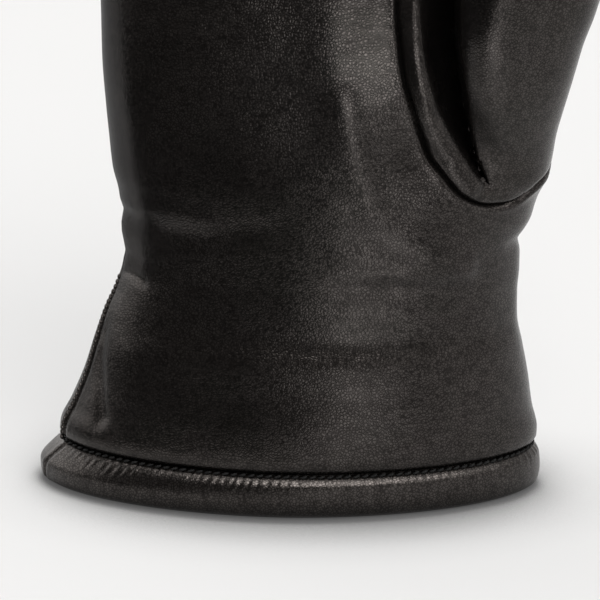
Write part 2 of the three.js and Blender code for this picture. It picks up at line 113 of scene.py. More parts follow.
# Soft dents and swells of the body: turn in degrees from the thumb side over the palm, level, width in
# degrees, width in levels, depth in millimetres.
BODY_FOLDS = (
    (87, 1.44, 5.5, 0.3, 0.55),
    (62, 1.25, 15, 0.08, -2.4),
    (104, 1.42, 20, 0.26, -1.0),
    (142, 1.3, 16, 0.24, 1.3),
    (60, 1.0, 22, 0.075, 1.3),
    (72, 0.93, 12, 0.06, -0.6),
    (105, 0.45, 26, 0.3, -0.9),
    (70, 0.5, 40, 0.16, -0.5),
    (270, 1.0, 40, 0.12, -1.3),
    (262, 1.35, 34, 0.25, 1.3),
    (180, 1.03, 16, 0.022, 0.7),
    (178, 1.075, 14, 0.016, -0.9),
    (176, 0.955, 14, 0.03, -0.7),
    (2, 1.028, 16, 0.016, -1.2),
    (4, 1.07, 20, 0.02, 0.5),
)

# Drawn-out folds of the body: half width and rise in millimetres, then the line as turn and height
FOLD_LINES = (
    (3.2, 0.55, ((85, 98), (84, 91), (83, 83), (80, 75), (75, 68.7), (66, 64.4), (57, 61), (45, 57.7))),
    (2.6, 0.28, ((177, 66.8), (160, 68.6), (149, 69.3), (136, 69), (126, 67.8))),
    (3.4, -0.35, ((142, 63), (126, 64.3), (116, 66), (104, 67))),
    (0.9, -0.45, ((172, 51.4), (162, 51.6), (152, 50.6))),
    (2.2, -0.6, ((166, 37), (162, 31), (156, 25), (150, 19))),
)
DEGREE = 0.85  # millimetres along the body for each degree of turn

# Fingers from the thumb side: width share, length share, splay in degrees.
FINGER_ROWS = (
    ("index", 0.258, 0.9, 3.4),
    ("middle", 0.26, 1.0, 0.8),
    ("ring", 0.252, 0.93, -1.9),
    ("little", 0.23, 0.73, -4.2),
)
# Along each finger: share of its length, share of its width and depth
FINGER_OUTLINE = (
    (-0.6, 0.4), (-0.28, 0.92), (0.0, 1.0), (0.22, 1.0), (0.45, 0.985), (0.68, 0.95), (1.0, 0.94),
)
FINGER_DOME = 0.68  # where along the finger its rounded tip starts
FINGER_POWER = 2.5
FINGER_DOME_POWER = 2.6
# Along each finger: share of its length, half the strip's height as a share of the finger's depth
FOURCHETTE_OUTLINE = ((-0.22, 0.44), (0.0, 0.5), (0.5, 0.46), (0.75, 0.32), (0.9, 0.06))
FOURCHETTE_ENDS = (-0.18, 0.9)

# The thumb: share of its length, middle as shares of the palm's width and depth, its own width and depth
THUMB_ROWS = (
    # along, x, y, width, depth
    (-0.14, 0.5, 0.05, 0.03, 0.05),
    (-0.05, 0.5, 0.07, 0.24, 0.36),
    (0.02, 0.52, 0.14, 0.43, 0.57),
    (0.08, 0.517, 0.18, 0.53, 0.65),
    (0.17, 0.505, 0.256, 0.69, 0.76),
    (0.26, 0.501, 0.322, 0.82, 0.86),
    (0.37, 0.504, 0.38, 0.925, 0.945),
    (0.46, 0.517, 0.418, 1.01, 0.985),
    (0.56, 0.538, 0.453, 1.045, 1.0),
    (0.68, 0.567, 0.512, 1.02, 0.99),
    (0.79, 0.593, 0.581, 0.99, 0.985),
    (1.0, 0.633, 0.695, 0.97, 0.985),
)
THUMB_DOME = 0.62
THUMB_DOME_POWER = 2.4
THUMB_SLIM = 0.965  # its corners reach out, so its sides come in a little
THUMB_CORNERS = ((0.0, 2.15), (0.2, 2.5), (0.45, 3.1), (0.6, 3.0), (0.8, 2.4), (1.0, 2.1))
THUMB_TURN = 21.0  # degrees that its flat front looks to the thumb side

# The thumb's seam seen from the palm side: x as a share of the palm's width, along of the thumb's length.
THUMB_SEAM = (
    (0.36, 0.7), (0.285, 0.64), (0.245, 0.56), (0.235, 0.47), (0.241, 0.394), (0.253, 0.305),
    (0.277, 0.216), (0.312, 0.113), (0.343, 0.069), (0.392, 0.01), (0.436, -0.018), (0.481, -0.029),
    (0.526, -0.029), (0.573, 0.004), (0.609, 0.034), (0.9, 0.22), (0.9, 0.7),
)
# Where that seam runs on the glove's side, in millimetres: furthest back at one level, further forward
# above and below it
THUMB_SEAM_BACK = 1.5
THUMB_SEAM_LEVEL = 101
THUMB_SEAM_SPREAD = 30
THUMB_SEAM_DROP = 9.0
THUMB_SEAM_BLEND = 7.0
THUMB_FREE = 122  # above this height the thumb stands off the palm
VALLEY_SLANT = 0.45  # how far the valley leans in under the thumb for each millimetre of its depth

# The roll inside that seam, and the valley between roll and thumb, in millimetres
ROLL_ROWS = (
    # x, z, radius, how far its crest stands in front of the palm
    (27.8, 129.6, 1.3, 0.6),
    (25.6, 121.5, 2.6, 1.2),
    (25.9, 112.0, 3.0, 1.7),
    (26.6, 105.5, 3.2, 1.8),
    (28.6, 96.0, 3.5, 1.9),
    (30.9, 90.0, 3.8, 1.8),
    (33.1, 85.0, 4.1, 1.6),
    (35.3, 81.0, 4.1, 1.3),
    (38.8, 76.5, 3.2, 0.7),
)
VALLEY_ROWS = (
    # x, z, half width, depth below the palm's face
    (32.6, 140.0, 1.2, 3.0),
    (31.8, 126.0, 2.3, 8.0),
    (32.0, 112.0, 2.7, 9.0),
    (32.9, 104.0, 2.7, 9.0),
    (34.6, 95.5, 2.5, 8.5),
    (36.3, 90.0, 2.1, 7.5),
    (38.8, 83.0, 1.5, 6.5),
    (40.6, 79.6, 1.1, 5.5),
    (42.4, 76.9, 0.6, 4.0),
)

# How softly the parts run into one another, in millimetres
FINGER_BLEND = 1.5
KNUCKLE_BLEND = 4.0
THUMB_BLEND = 5.5
ROLL_BLEND = 0.9
VALLEY_BLEND = 1.0

# The side seam: level and turn
SIDE_SEAM = ((0.0, 168.5), (0.5, 170.5), (1.0, 178), (1.5, 182), (1.9, 182), (2.1, 182))


# Numbers
def curve(rows, key=0, value=1):
    """A smooth function through the rows of a table that never overshoots them."""
    xs = np.array([r[key] for r in rows], float)
    ys = np.array([r[value] for r in rows], float)
    step = np.diff(xs)
    rise = np.diff(ys) / step
    slope = np.concatenate([[rise[0]], np.zeros(len(xs) - 2), [rise[-1]]])
    for i in range(1, len(xs) - 1):
        if rise[i - 1] * rise[i] > 0:
            a = 2 * step[i] + step[i - 1]
            b = step[i] + 2 * step[i - 1]
            slope[i] = (a + b) / (a / rise[i - 1] + b / rise[i])

    def at(x):
        x = np.clip(x, xs[0], xs[-1])
        i = np.clip(np.searchsorted(xs, x) - 1, 0, len(step) - 1)
        t = (x - xs[i]) / step[i]
        s = 1 - t
        start = ys[i] * (1 + 2 * t) * s * s + slope[i] * step[i] * t * s * s
        return start + ys[i + 1] * t * t * (3 - 2 * t) - slope[i + 1] * step[i] * t * t * s

    return at


def smoothstep(x, low, high):
    t = np.clip((x - low) / (high - low), 0, 1)
    return t * t * (3 - 2 * t)


def smooth_min(a, b, width):
    near = np.maximum(width - np.abs(a - b), 0) / width
    return np.minimum(a, b) - near * near * width / 4


def smooth_max(a, b, width):
    return -smooth_min(-a, -b, width)


def smooth_path(rows, steps=12):
    """Points on a Catmull-Rom curve through the rows, every column of them."""
    rows = np.array(rows, float)
    before = np.vstack([2 * rows[0] - rows[1], rows, 2 * rows[-1] - rows[-2]])
    t = np.linspace(0, 1, steps, endpoint=False)[:, None]
    parts = []
    for i in range(len(rows) - 1):
        a, b, c, d = before[i : i + 4]
        bend, turn = 2 * a - 5 * b + 4 * c - d, 3 * b - a - 3 * c + d
        parts.append(0.5 * (2 * b + (c - a) * t + bend * t**2 + turn * t**3))
    return np.vstack(parts + [rows[-1:]])


def segment_distance(points, path):
    """Distance of each point to an open path, and how far along the path (in its points) the nearest is."""
    best = np.full(len(points), 1e9)
    along = np.zeros(len(points))
    for i in range(len(path) - 1):
        a, d = path[i], path[i + 1] - path[i]
        t = np.clip((points - a) @ d / (d @ d), 0, 1)
        gap = np.linalg.norm(points - a - t[:, None] * d, axis=1)
        closer = gap < best
        best[closer] = gap[closer]
        along[closer] = i + t[closer]
    return best, along


def polygon_distance(points, loop):
    """Signed distance to a closed polygon, negative inside."""
    gap, _ = segment_distance(points, np.vstack([loop, loop[:1]]))
    inside = np.zeros(len(points), bool)
    for a, b in zip(loop, np.roll(loop, -1, axis=0)):
        crosses = (a[1] > points[:, 1]) != (b[1] > points[:, 1])
        if a[1] != b[1]:
            inside ^= crosses & (points[:, 0] < (b[0] - a[0]) * (points[:, 1] - a[1]) / (b[1] - a[1]) + a[0])
    return np.where(inside, -gap, gap)


# The body
def height_of(level):
    low = BODY_BASE + (WRIST_HEIGHT - BODY_BASE) * level
    high = WRIST_HEIGHT + (KNUCKLE_HEIGHT - WRIST_HEIGHT) * (level - 1)
    return np.where(level <= 1, low, high)


def level_of(z):
    low = (z - BODY_BASE) / (WRIST_HEIGHT - BODY_BASE)
    high = 1 + (z - WRIST_HEIGHT) / (KNUCKLE_HEIGHT - WRIST_HEIGHT)
    return np.where(z <= WRIST_HEIGHT, low, high)


def body_curve(column, scale):
    rows = [(float(height_of(r[0])), r[column] * (1 if scale is None else r[1][scale])) for r in BODY_ROWS]
    return curve(rows)


BODY_LEFT = body_curve(2, 0)
BODY_RIGHT = body_curve(3, 0)
BODY_FRONT = body_curve(4, 1)
BODY_BACK = body_curve(5, 1)
BODY_POWER = body_curve(6, None)
KNUCKLE_LEFT = float(BODY_LEFT(KNUCKLE_HEIGHT))
KNUCKLE_RIGHT = float(BODY_RIGHT(KNUCKLE_HEIGHT))


def knuckle_slope(x):
    share = np.clip((KNUCKLE_RIGHT - x) / (KNUCKLE_RIGHT - KNUCKLE_LEFT), 0, 1)
    return KNUCKLE_DROP * share**KNUCKLE_BEND


def body_height(x, z):
    """The height before the knuckles' slant of a point."""
    height = z + 0 * x
    for _ in range(4):
        height = z + smoothstep(level_of(height), *SLANT) * knuckle_slope(x)
    return height


def fold_push(turn, level):
    push = 0
    for at, row, across, along, depth in BODY_FOLDS:
        off = (turn - at + 180) % 360 - 180
        push = push + depth * np.exp(-((off / across) ** 2) - ((level - row) / along) ** 2)
    height = height_of(level)
    for half, rise, line in FOLD_LINES:
        line = smooth_path([(turn_at * DEGREE, z) for turn_at, z in line], 3)
        low, high = line.min(0) - 3 * half, line.max(0) + 3 * half
        shape = np.broadcast(turn, height).shape
        across, up = (np.broadcast_to(v, shape) for v in (turn * DEGREE, height))
        near = (across > low[0]) & (across < high[0]) & (up > low[1]) & (up < high[1])
        gap, _ = segment_distance(np.stack([across[near], up[near]], -1), line)
        extra = np.zeros(shape)
        extra[near] = rise * np.exp(-((gap / half) ** 2))
        push = push + extra
    return push


def body_field(x, y, z):
    height = body_height(x, z)
    left, right, power = BODY_LEFT(height), BODY_RIGHT(height), BODY_POWER(height)
    reach = np.where(y < 0, BODY_FRONT(height), BODY_BACK(height))
    half = (right - left) / 2
    side = x - (left + right) / 2
    u = np.abs(side) / half
    v = np.maximum(np.abs(y) / reach, 1e-3)
    up, vp = u**power, v**power
    total = up + vp
    r = total ** (1 / power)
    slope = total ** (1 / power - 1) * np.sqrt((up / np.maximum(u, 1e-3) / half) ** 2 + (vp / v / reach) ** 2)
    turn = np.degrees(np.arctan2(np.sign(-y) * np.sqrt(vp), np.sign(side) * np.sqrt(up)))
    gap = (r - 1) / slope - fold_push(turn, level_of(height))
    return smooth_max(gap, z - KNUCKLE_HEIGHT + knuckle_slope(x), 7.0)


def palm_face(x, z):
    """The palm side's y at a place given by x and height."""
    left, right, power = BODY_LEFT(z), BODY_RIGHT(z), BODY_POWER(z)
    share = np.clip((2 * x - left - right) / (right - left), -1, 1)
    turn = np.degrees(np.arccos(np.sign(share) * np.abs(share) ** (power / 2)))
    return -BODY_FRONT(z) * (1 - np.abs(share) ** power) ** (1 / power) - fold_push(turn, level_of(z))


# Fingers and thumb
def tube_field(u, v, w, hx, hy, hz, power, dome):
    """A superellipse tube of half widths hx and hy whose end is a dome of length hz; w is 0 to 1 over it."""
    u, v = np.abs(u / hx) + 1e-4, np.abs(v / hy) + 1e-4
    total = u**power + v**power
    r = (total ** (dome / power) + w**dome) ** (1 / dome)
    k = total ** (dome / power - 1)
    rise_u, rise_v, rise_w = k * u ** (power - 1) / hx, k * v ** (power - 1) / hy, w ** (dome - 1) / hz
    slope = r ** (1 - dome) * np.sqrt(rise_u**2 + rise_v**2 + rise_w**2)
    return (r - 1) / np.maximum(slope, 1e-4)


def finger_places():
    room = KNUCKLE_RIGHT - KNUCKLE_LEFT - (len(FINGER_ROWS) - 1) * FINGER_GAP
    shares = sum(row[1] for row in FINGER_ROWS)
    edge = KNUCKLE_RIGHT
    places = []
    for name, share, length, splay in FINGER_ROWS:
        width = room * share / shares
        x = edge - width / 2
        edge -= width + FINGER_GAP
        base = KNUCKLE_HEIGHT - float(knuckle_slope(x))
        places.append({
            "name": name, "width": width, "x": x, "base": base,
            "length": length * MIDDLE_LENGTH, "splay": math.tan(math.radians(splay)),
        })
    return places


FINGERS = finger_places()
FINGER_SIZE = curve(FINGER_OUTLINE)
FOURCHETTE_HALF = curve(FOURCHETTE_OUTLINE)


def finger_middle(finger, z):
    along = (z - finger["base"]) / finger["length"]
    ahead = np.maximum(along, 0)
    return along, finger["x"] + ahead * finger["length"] * finger["splay"], -FINGER_CURL * ahead**2


def finger_field(finger, x, y, z):
    along, mx, my = finger_middle(finger, z)
    size = FINGER_SIZE(along) / 2
    dome = np.clip((along - FINGER_DOME) / (1 - FINGER_DOME), 0, None)
    long = (1 - FINGER_DOME) * finger["length"]
    width, depth = size * finger["width"], size * FINGER_DEPTH
    return tube_field(x - mx, y - my, dome, width, depth, long, FINGER_POWER, FINGER_DOME_POWER)


def thumb_along(z):
    return (z - THUMB_SEAM_HEIGHT) / THUMB_LENGTH


THUMB_X, THUMB_Y, THUMB_W, THUMB_D = (curve(THUMB_ROWS, 0, i) for i in (1, 2, 3, 4))
THUMB_POWER = curve(THUMB_CORNERS)


def thumb_field(x, y, z):
    along = thumb_along(z)
    dome = np.clip((along - THUMB_DOME) / (1 - THUMB_DOME), 0, None)
    long = (1 - THUMB_DOME) * THUMB_LENGTH
    u, v = x - THUMB_X(along) * PALM_WIDTH, y + THUMB_Y(along) * PALM_DEPTH
    c, s = math.cos(math.radians(THUMB_TURN)), math.sin(math.radians(THUMB_TURN))
    width = THUMB_W(along) * THUMB_WIDTH / 2 * THUMB_SLIM
    depth = THUMB_D(along) * THUMB_DEPTH / 2 * THUMB_SLIM
    power = THUMB_POWER(along)
    return tube_field(u * c + v * s, v * c - u * s, dome, width, depth, long, power, THUMB_DOME_POWER)


# Roll and valley
def roll_path():
    rows = [(x, float(palm_face(x, z)) + radius - proud, z, radius) for x, z, radius, proud in ROLL_ROWS]
    return smooth_path(rows, 6)


def valley_path():
    rows = [(x, z, half, float(palm_face(x, z)), depth) for x, z, half, depth in VALLEY_ROWS]
    return smooth_path(rows, 5)


ROLL = roll_path()
VALLEY = valley_path()


def near_box(x, y, z, path, columns, margin):
    """Which points lie in the box round a path, with its margin."""
    where = np.ones(np.broadcast(x, y, z).shape, bool)
    for values, column in columns:
        where &= (values > path[:, column].min() - margin) & (values < path[:, column].max() + margin)
    return where


def add_roll(field, x, y, z):
    where = near_box(x, y, z, ROLL, ((x, 0), (y, 1), (z, 2)), 7.0)
    points = np.stack([np.broadcast_to(v, where.shape)[where] for v in (x, y, z)], -1)
    gap, along = segment_distance(points, ROLL[:, :3])
    gap -= np.interp(along, np.arange(len(ROLL)), ROLL[:, 3])
    field[where] = smooth_min(field[where], gap, ROLL_BLEND)


def cut_valley(field, x, y, z):
    where = near_box(x, y, z, VALLEY, ((x, 0), (z, 1)), 6.0) & (y < 0)
    across, back, up = (np.broadcast_to(v, where.shape)[where] for v in (x, y, z))
    half, face, deep = (np.interp(-up, -VALLEY[:, 1], VALLEY[:, k]) for k in (2, 3, 4))
    sunk = back - face
    across = across - VALLEY_SLANT * np.maximum(sunk, 0) * deep / 9
    gap, _ = segment_distance(np.stack([across, up], -1), VALLEY[:, :2])
    wedge = gap - half * np.clip(0.1 + 0.9 * (deep - sunk) / np.maximum(deep, 1), 0.05, 1.3)
    hollow = smooth_max(wedge, sunk - deep, VALLEY_BLEND)
    field[where] = smooth_max(field[where], -hollow, VALLEY_BLEND)


def glove_field(x, y, z):
    """Distance to the glove's outer face in millimetres, negative inside."""
    fingers = finger_field(FINGERS[0], x, y, z)
    for finger in FINGERS[1:]:
        fingers = smooth_min(fingers, finger_field(finger, x, y, z), FINGER_BLEND)
    field = smooth_min(body_field(x, y, z), fingers, KNUCKLE_BLEND)
    field = smooth_min(field, thumb_field(x, y, z), THUMB_BLEND)
    cut_valley(field, x, y, z)
    add_roll(field, x, y, z)
    return field


# Meshes from the field
def field_grid(low, high, step):
    axes = [np.arange(a, b + step, step) for a, b in zip(low, high)]
    x, y, z = axes[0][:, None, None], axes[1][None, :, None], axes[2][None, None, :]
    return axes, glove_field(x, y, z)


def surface_net(axes, values, step):
    """Quads of the zero surface of a grid of values, one corner in each cell that it passes through."""
    inside = values < 0
    corners = [(i, j, k) for i in (0, 1) for j in (0, 1) for k in (0, 1)]
    cut = [slice(0, -1), slice(1, None)]
    count = sum(inside[cut[i], cut[j], cut[k]].astype(np.int8) for i, j, k in corners)
    cells = np.argwhere((count > 0) & (count < 8))
    number = np.full(count.shape, -1, np.int32)
    number[tuple(cells.T)] = np.arange(len(cells))
    at = [values[tuple((cells + c).T)] for c in corners]
    total = np.zeros((len(cells), 3))
    crossings = np.zeros(len(cells))
    for a in range(8):
        for b in range(a + 1, 8):
            if sum(p != q for p, q in zip(corners[a], corners[b])) != 1:
                continue
            crossed = (at[a] < 0) != (at[b] < 0)
            t = at[a][crossed] / (at[a][crossed] - at[b][crossed])
            p, q = np.array(corners[a]), np.array(corners[b])
            total[crossed] += p + t[:, None] * (q - p)
            crossings[crossed] += 1
    origin = np.array([axis[0] for axis in axes])
    points = (cells + total / crossings[:, None]) * step + origin
    quads = []
    for axis in range(3):
        one, two = (axis + 1) % 3, (axis + 2) % 3
        ahead = [slice(None)] * 3
        behind = [slice(None)] * 3
        ahead[axis], behind[axis] = slice(1, None), slice(0, -1)
        changes = np.argwhere(inside[tuple(behind)] != inside[tuple(ahead)])
        keep = np.all([(changes[:, k] > 0) & (changes[:, k] < inside.shape[k] - 1) for k in (one, two)], 0)
        changes = changes[keep]
        outwards = inside[tuple(changes.T)]
        ring = []
        for da, db in ((-1, -1), (0, -1), (0, 0), (-1, 0)):
            cell = changes.copy()
            cell[:, one] += da
            cell[:, two] += db
            ring.append(number[tuple(cell.T)])
        ring = np.stack(ring, 1)
        ring[~outwards] = ring[~outwards][:, ::-1]
        quads.append(ring)
    quads = np.vstack(quads)
    return points, quads[(quads >= 0).all(1)]


def field_at(points, offset=0.0):
    return glove_field(points[:, 0], points[:, 1], points[:, 2]) - offset


def field_normal(points, reach=0.15):
    slopes = []
    for k in range(3):
        shift = np.zeros(3)
        shift[k] = reach
        slopes.append((field_at(points + shift) - field_at(points - shift)) / (2 * reach))
    return np.stack(slopes, 1)


def pull_to_surface(points, offset=0.0, rounds=3):
    for _ in range(rounds):
        slope = field_normal(points)
        size = np.maximum((slope**2).sum(1), 0.04)
        move = -(field_at(points, offset) / size)[:, None] * slope
        length = np.linalg.norm(move, axis=1)
        points = points + move * np.minimum(1, 0.8 / np.maximum(length, 1e-9))[:, None]
    return points


def triangles_of(quads):
    return np.vstack([quads[:, [0, 1, 2]], quads[:, [0, 2, 3]]])


def relax(points, triangles, share=0.5):
    """Each point moves towards the middle of its neighbours."""
    total = np.zeros_like(points)
    count = np.zeros(len(points))
    for a, b in ((0, 1), (1, 2), (2, 0)):
        for p, q in ((a, b), (b, a)):
            for k in range(3):
                total[:, k] += np.bincount(triangles[:, p], points[triangles[:, q], k], len(points))
            count += np.bincount(triangles[:, p], minlength=len(points))
    used = count > 0
    points = points.copy()
    points[used] += share * (total[used] / count[used, None] - points[used])
    return points


def glove_surface(low, high, step, offset, rounds):
    axes, values = field_grid(low, high, step)
    points, quads = surface_net(axes, values - offset, step)
    triangles = triangles_of(quads)
    points = pull_to_surface(points, offset, 2)
    edge = (points[:, 2] < low[2] + 1.5 * step)
    for _ in range(rounds):
        moved = pull_to_surface(relax(points, triangles), offset, 1)
        points = np.where(edge[:, None], points, moved)
    return points, triangles


def score(points, triangles, value, level, reach=2.5, snap=0.22):
    """Puts vertices and edges on the line where value(points) is level, so that a seam is crisp there."""
    amount = value(points) - level
    near = (np.abs(amount)[triangles] < reach).any(1)
    rest, close = triangles[~near], triangles[near]
    for snapping in (True, False):
        edges = np.sort(np.vstack([close[:, [0, 1]], close[:, [1, 2]], close[:, [2, 0]]]), 1)
        edges = np.unique(edges, axis=0)
        a, b = edges.T
        edges = edges[amount[a] * amount[b] < 0]
        a, b = edges.T
        share = amount[a] / (amount[a] - amount[b])
        if not snapping:
            break
        ends = np.concatenate([a, b])
        others = np.concatenate([b, a])
        shares = np.concatenate([share, 1 - share])
        order = np.argsort(shares)[::-1]
        order = order[shares[order] < snap]
        best = np.full(len(points), -1)
        best[ends[order]] = order
        moved = np.flatnonzero(best >= 0)
        pick = best[moved]
        points = points.copy()
        points[moved] += shares[pick][:, None] * (points[others[pick]] - points[moved])
        amount[moved] = 0
    middles = points[a] + share[:, None] * (points[b] - points[a])
    first = len(points)
    points = np.vstack([points, middles])
    key = a.astype(np.int64) * first + b
    order = np.argsort(key)

    def middle_of(p, q):
        """The number of the new vertex on edge p-q, or -1."""
        want = np.minimum(p, q).astype(np.int64) * first + np.maximum(p, q)
        at = np.clip(np.searchsorted(key[order], want), 0, len(key) - 1)
        found = key[order][at] == want
        return np.where(found, first + order[at], -1)

    if not len(key):
        return points, triangles
    m = np.stack([middle_of(close[:, i], close[:, (i + 1) % 3]) for i in range(3)], 1)
    count = (m >= 0).sum(1)
    made = [rest, close[count == 0]]
    for i in range(3):
        one = (count == 1) & (m[:, i] >= 0)
        p, q, r = (close[one][:, (i + k) % 3] for k in range(3))
        mid = m[one, i]
        made += [np.stack([p, mid, r], 1), np.stack([mid, q, r], 1)]
        two = (count == 2) & (m[:, i] >= 0) & (m[:, (i + 2) % 3] >= 0)
        p, q, r = (close[two][:, (i + k) % 3] for k in range(3))
        mid, last = m[two, i], m[two, (i + 2) % 3]
        made += [np.stack([p, mid, last], 1), np.stack([mid, q, r], 1), np.stack([mid, r, last], 1)]
    return points, np.vstack(made)


# Seams, as functions that are 0 on the seam and near a distance in millimetres beside it
SEAM_LOOP = smooth_path(
    [(x * PALM_WIDTH, THUMB_SEAM_HEIGHT + along * THUMB_LENGTH) for x, along in THUMB_SEAM], 6
)
NO_SEAM = 30.0


def thumb_side(points):
    """Negative on the thumb's piece."""
    x, y, z = points.T
    set_in = np.full(len(points), NO_SEAM)
    near = (x > 14) & (z > 62) & (z < 150) & (y < 9)
    back = THUMB_SEAM_BACK - THUMB_SEAM_DROP * ((z[near] - THUMB_SEAM_LEVEL) / THUMB_SEAM_SPREAD) ** 2
    outline = polygon_distance(points[near][:, [0, 2]], SEAM_LOOP)
    set_in[near] = smooth_max(outline, (y[near] - back) * 0.9, THUMB_SEAM_BLEND)
    others = body_field(x, y, z)
    for finger in FINGERS:
        others = np.minimum(others, finger_field(finger, x, y, z))
    free = thumb_field(x, y, z) - others
    return smooth_min(set_in, np.maximum(free, THUMB_FREE - z), 1.0)


def fourchette_side(points, left, right):
    """Negative on the strip between two neighbouring fingers; left is nearer to the little finger."""
    x, y, z = points.T
    best = np.full(len(points), NO_SEAM)
    root, tip = FOURCHETTE_ENDS
    for finger, side in ((right, -1), (left, 1)):
        along, mx, my = finger_middle(finger, z)
        past_tip = np.clip(along - tip, 0, None) * finger["length"] * 0.6
        past_root = np.clip(root - along, 0, None) * finger["length"] * 2.0
        half = FOURCHETTE_HALF(along) * FINGER_DEPTH / 2 - past_tip - past_root
        inwards = (x - mx) * side
        off = np.maximum(np.abs(y - my) - half, -inwards + 0.5)
        off = np.where(inwards < finger["width"] / 2 + FINGER_GAP / 2 + 0.01, off, NO_SEAM)
        best = np.minimum(best, off)
    return best


SIDE_TURN = curve([(float(height_of(level)), turn) for level, turn in SIDE_SEAM])


def side_seam(points):
    """Signed distance along the surface from the side seam, positive to the back."""
    x, y, z = points.T
    height = body_height(x, z)
    left, right, power = BODY_LEFT(height), BODY_RIGHT(height), BODY_POWER(height)
    half, middle = (right - left) / 2, (left + right) / 2
    turn = np.radians(SIDE_TURN(height))
    c, s = np.abs(np.cos(turn)) ** (2 / power), np.abs(np.sin(turn)) ** (2 / power)
    front = BODY_FRONT(height)
    sx, sy = middle - half * c, -np.sign(np.sin(turn)) * front * s
    gap = (y - sy) * 0.97 + (x - sx) * 0.25
    return np.where(x < middle - half * 0.6, gap, NO_SEAM)


def crease(distance, depth, width, lip, lip_at, lip_width, both):
    """Inward depth beside a seam: a narrow fall at the seam and a low lip beside it, on one side or both."""
    fall = depth * np.exp(-((np.abs(distance) / width) ** 1.4))
    off = np.abs(distance) if both else distance
    return fall - lip * np.exp(-(((off - lip_at) / lip_width) ** 2))


# Grooves of the seams in millimetres: depth, width, lip, its distance and width, lip on both sides
THUMB_CREASE = (1.3, 0.42, 0.22, 1.1, 0.6, False)
SIDE_CREASE = (0.9, 0.45, 0.12, 1.2, 0.6, True)
FINGER_CREASE = (0.5, 0.4, 0.1, 0.9, 0.5, True)
HEM_GROOVE_DEPTH = 1.3
HEM_GROOVE_WIDTH = 0.75

# The box that the surface is looked for in, and the spacing of the grid in it
LOW = (-58.0, -43.0, 7.0)
HIGH = (76.0, 29.0, 256.0)
OUTER_STEP = 1.12
INNER_STEP = 2.4
SEAM_LINES = (-1.5, -0.8, -0.35, 0.0, 0.35, 0.8, 1.5)


def outer_surface():
    points, triangles = glove_surface(LOW, HIGH, OUTER_STEP, 0.0, 3)
    webs = list(zip(FINGERS[1:], FINGERS[:-1]))
    seams = [(thumb_side, SEAM_LINES), (side_seam, SEAM_LINES)]
    seams += [(lambda p, l=left, r=right: fourchette_side(p, l, r), (-0.6, 0.0, 0.6)) for left, right in webs]
    seams.append((lambda p: p[:, 2] - BODY_BASE, (1.6, 0.9, 0.45, 0.0)))
    for value, lines in seams:
        for line in lines:
            points, triangles = score(points, triangles, value, line)
    points = pull_to_surface(points, 0.0, 1)
    return points, triangles, webs


def push_seams(points, normals, webs):
    unit = normals / np.linalg.norm(normals, axis=1)[:, None]
    thumb, side = thumb_side(points), side_seam(points)
    depth = crease(thumb, *THUMB_CREASE)
    depth += crease(side, *SIDE_CREASE) * (1 - smoothstep(points[:, 2], 150, 165))
    for left, right in webs:
        depth += crease(fourchette_side(points, left, right), *FINGER_CREASE)
    depth += HEM_GROOVE_DEPTH * np.exp(-(((points[:, 2] - BODY_BASE) / HEM_GROOVE_WIDTH) ** 2))
    return points - unit * depth[:, None]


# The hem
HEM_CURVES = [curve(HEM_ROWS, 0, i) for i in (1, 2, 3, 4)]
# Its profile from the stitched groove over the outer face and the foot to the inner face: inset, height
HEM_PROFILE = (
    (1.9, 10.35), (1.35, 10.3), (0.75, 10.1), (0.32, 9.65), (0.1, 8.9), (0.0, 7.6), (0.0, 5.5),
    (0.0, 3.6), (0.08, 2.2), (0.35, 1.1), (0.9, 0.35), (1.6, 0.06), (2.3, 0.0), (3.1, 0.12),
    (3.9, 0.7), (4.4, 1.9), (4.6, 3.6), (4.6, 7.0), (4.45, 9.3), (4.0, 10.4), (3.1, 10.75), (1.9, 10.6),
)
HEM_AROUND = 640
# Puckers under its stitch line, in millimetres, and the x that they gather round
PUCKER_PITCHES = (2.05, 1.31)
PUCKER_HEIGHT = 9.2
PUCKER_DEPTH = 0.24
GATHER_X = -24
GATHER_REACH = 18
# Its seam goes on from the side seam: turn at the top, and degrees for each millimetre further down
HEM_SEAM_TURN = 166
HEM_SEAM_SLANT = 0.35


def superellipse(turn, left, right, front, back, power):
    c, s = np.cos(turn), np.sin(turn)
    x = (left + right) / 2 + (right - left) / 2 * np.sign(c) * np.abs(c) ** (2 / power)
    y = -np.where(s > 0, front, back) * np.sign(s) * np.abs(s) ** (2 / power)
    return x, y


def even_turns(count):
    """Turns that are evenly spaced along the hem's outline."""
    turn = np.linspace(0, 2 * np.pi, 4001)
    reach = [f(0.8) * w for f, w in zip(HEM_CURVES, (CUFF_WIDTH, CUFF_WIDTH, CUFF_DEPTH, CUFF_DEPTH))]
    x, y = superellipse(turn, *reach, HEM_POWER)
    length = np.concatenate([[0], np.cumsum(np.hypot(np.diff(x), np.diff(y)))])
    at = np.linspace(0, length[-1], count, endpoint=False)
    return np.interp(at, length, turn), at


def hem_outline(turn, height):
    share = np.clip(height / HEM_HEIGHT, 0, 1)
    reach = [f(share) * w for f, w in zip(HEM_CURVES, (CUFF_WIDTH, CUFF_WIDTH, CUFF_DEPTH, CUFF_DEPTH))]
    x, y = superellipse(turn, *reach, HEM_POWER)
    ax, ay = superellipse(turn + 0.01, *reach, HEM_POWER)
    bx, by = superellipse(turn - 0.01, *reach, HEM_POWER)
    tx, ty = ax - bx, ay - by
    size = np.hypot(tx, ty)
    return x, y, -ty / size, tx / size


